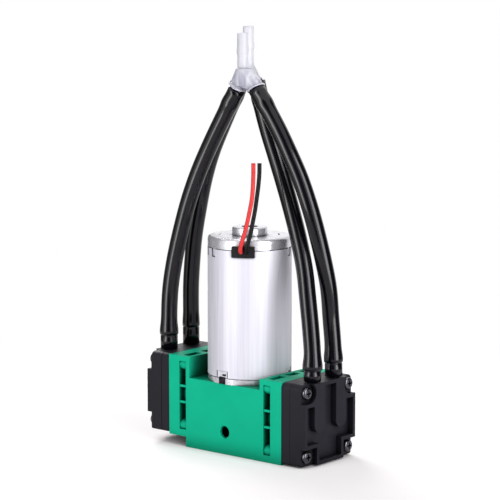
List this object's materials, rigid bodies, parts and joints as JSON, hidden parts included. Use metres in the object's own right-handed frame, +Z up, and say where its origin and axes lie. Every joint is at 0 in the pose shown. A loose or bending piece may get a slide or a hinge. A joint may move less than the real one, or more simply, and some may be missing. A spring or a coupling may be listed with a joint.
{
  "type": "diaphragm air pump",
  "caption": "Twin-head diaphragm air pump: upright brushed motor on a moulded base, with opposed heads and paired hoses running up to Y connectors.",
  "frame": {"origin": "on the motor's axis at the underside of the base frame", "axes": "+X to the right head, -Y to the front wall with the access hole, +Z up along the motor shaft"},
  "size_m": [0.1026, 0.0426, 0.2112],
  "materials": {
    "green_plastic": "satin moulded plastic",
    "black_plastic": "satin moulded plastic",
    "can_steel": "satin plated",
    "bright_steel": "machined",
    "dark_steel": "black oxide",
    "magnet": "sintered",
    "copper": "lacquered",
    "rod_aluminium": "die cast",
    "rubber": "matt",
    "hose_rubber": "glossy",
    "red_insulation": "satin",
    "black_insulation": "satin",
    "milky_plastic": "translucent"
  },
  "bodies": {
    "pump": {"base_frame": "green_plastic", "motor_can": "can_steel", "motor_front_cap": "can_steel", "motor_rear_cap": "can_steel", "motor_magnets": "magnet", "front_bearing": "bright_steel", "rear_bearing": "bright_steel", "brush_card": "black_plastic", "brushes": "magnet", "lead_grommet": "rubber", "red_lead": "red_insulation", "black_lead": "black_insulation", "motor_screws": "dark_steel", "left_diaphragm": "rubber", "right_diaphragm": "rubber", "left_valve_plate": "black_plastic", "right_valve_plate": "black_plastic", "left_valve_sheet": "rubber", "right_valve_sheet": "rubber", "left_cover_gasket": "rubber", "right_cover_gasket": "rubber", "left_head_cover": "black_plastic", "right_head_cover": "black_plastic", "left_cover_screws": "dark_steel", "right_cover_screws": "dark_steel", "left_front_hose": "hose_rubber", "left_rear_hose": "hose_rubber", "right_front_hose": "hose_rubber", "right_rear_hose": "hose_rubber", "front_y_connector": "milky_plastic", "rear_y_connector": "milky_plastic"},
    "rotor": {"motor_shaft": "bright_steel", "armature_core": "can_steel", "armature_windings": "copper", "commutator": "copper", "eccentric_hub": "bright_steel", "eccentric_set_screw": "dark_steel"},
    "left_rod": {"left_connecting_rod": "rod_aluminium", "left_rod_bearing": "bright_steel", "left_diaphragm_clamp": "rod_aluminium", "left_diaphragm_screw": "dark_steel"},
    "right_rod": {"right_connecting_rod": "rod_aluminium", "right_rod_bearing": "bright_steel", "right_diaphragm_clamp": "rod_aluminium", "right_diaphragm_screw": "dark_steel"}
  },
  "joints": [
    {"name": "rotor_spin", "type": "hinge", "parent": "pump", "child": "rotor", "pos_m": [0, 0, 0.0231], "axis": [0, 0, 1], "continuous": true, "deforming": ["left_diaphragm", "right_diaphragm"]},
    {"name": "left_crank_pin", "type": "hinge", "parent": "rotor", "child": "left_rod", "pos_m": [0.002, 0, 0.0257], "axis": [0, 0, 1], "continuous": true},
    {"name": "right_crank_pin", "type": "hinge", "parent": "rotor", "child": "right_rod", "pos_m": [0.002, 0, 0.0205], "axis": [0, 0, 1], "continuous": true}
  ],
  "couplings": [
    {"joint": "left_crank_pin", "follows": "rotor_spin", "ratio": -1},
    {"joint": "right_crank_pin", "follows": "rotor_spin", "ratio": -1}
  ]
}
